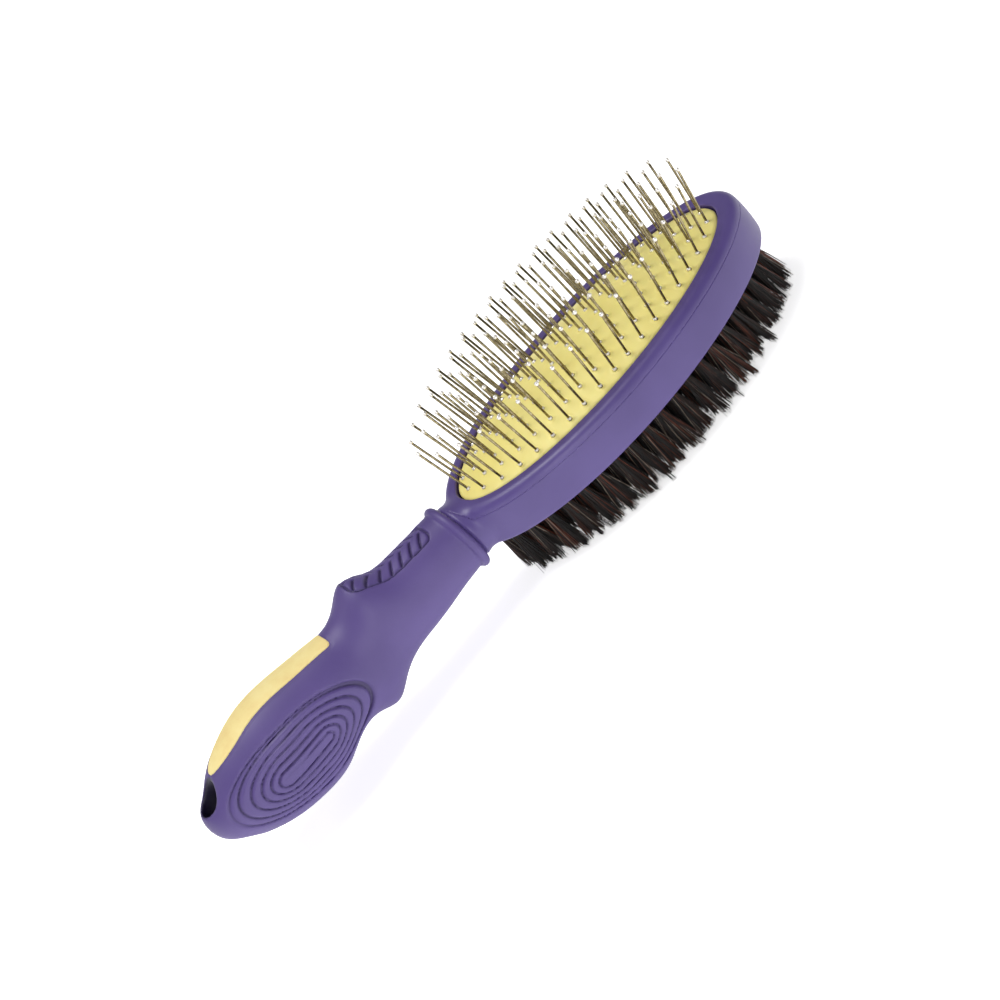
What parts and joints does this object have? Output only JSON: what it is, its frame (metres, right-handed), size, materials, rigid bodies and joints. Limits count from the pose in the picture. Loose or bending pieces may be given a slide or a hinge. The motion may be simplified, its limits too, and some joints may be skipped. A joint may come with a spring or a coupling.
{
  "type": "grooming brush",
  "caption": "Double-sided pet grooming brush: ball-ended pins in a domed rubber air cushion on one side, dense bristle tufts on the other, on a soft contoured grip with a hang hole.",
  "frame": {"origin": "centre of the hang hole, on the grip's axis", "axes": "+X along the grip towards the head's tip, +Z through the hang hole towards the pin side, +Y across the head"},
  "size_m": [0.237, 0.061, 0.0596],
  "materials": {
    "frame_plastic": "satin moulded plastic",
    "bezel_plastic": "satin moulded plastic",
    "grip_rubber": "soft-touch matte",
    "inlay_rubber": "soft matte",
    "cushion_rubber": "smooth matte",
    "plate_plastic": "matte moulded plastic",
    "pin_steel": "polished",
    "bristle": "natural and synthetic bristle, semi-gloss",
    "staple_wire": "plain wire"
  },
  "bodies": {
    "frame": {"head_frame": "frame_plastic", "cushion_bezel": "bezel_plastic", "cushion_membrane": "cushion_rubber", "bristle_plate": "plate_plastic", "tufts_ring_1": "bristle", "tufts_ring_2": "bristle", "tufts_ring_3": "bristle", "tufts_ring_4": "bristle", "tufts_centre_row": "bristle", "staples_ring_1": "staple_wire", "staples_ring_2": "staple_wire", "staples_ring_3": "staple_wire", "staples_ring_4": "staple_wire", "staples_centre_row": "staple_wire", "grip_sleeve": "grip_rubber", "grip_inlay": "inlay_rubber"},
    "pins_ring_1": {"pins_ring_1": "pin_steel"},
    "pins_ring_2": {"pins_ring_2": "pin_steel"},
    "pins_ring_3": {"pins_ring_3": "pin_steel"},
    "pins_ring_4": {"pins_ring_4": "pin_steel"},
    "pins_centre_row": {"pins_centre_row": "pin_steel"}
  },
  "joints": [
    {"name": "cushion_press", "type": "slide", "parent": "frame", "child": "pins_centre_row", "axis": [0, 0, -1], "range_m": [0, 0.003], "stiffness_N_per_m": 400, "deforming": ["cushion_membrane"]},
    {"name": "press_ring_4", "type": "slide", "parent": "frame", "child": "pins_ring_4", "axis": [0, 0, -1], "range_m": [0, 0.00262], "stiffness_N_per_m": 400},
    {"name": "press_ring_3", "type": "slide", "parent": "frame", "child": "pins_ring_3", "axis": [0, 0, -1], "range_m": [0, 0.00217], "stiffness_N_per_m": 400},
    {"name": "press_ring_2", "type": "slide", "parent": "frame", "child": "pins_ring_2", "axis": [0, 0, -1], "range_m": [0, 0.00163], "stiffness_N_per_m": 400},
    {"name": "press_ring_1", "type": "slide", "parent": "frame", "child": "pins_ring_1", "axis": [0, 0, -1], "range_m": [0, 0.00079], "stiffness_N_per_m": 400}
  ],
  "couplings": [
    {"joint": "press_ring_4", "follows": "cushion_press", "ratio": 0.87},
    {"joint": "press_ring_3", "follows": "cushion_press", "ratio": 0.72},
    {"joint": "press_ring_2", "follows": "cushion_press", "ratio": 0.54},
    {"joint": "press_ring_1", "follows": "cushion_press", "ratio": 0.26}
  ]
}
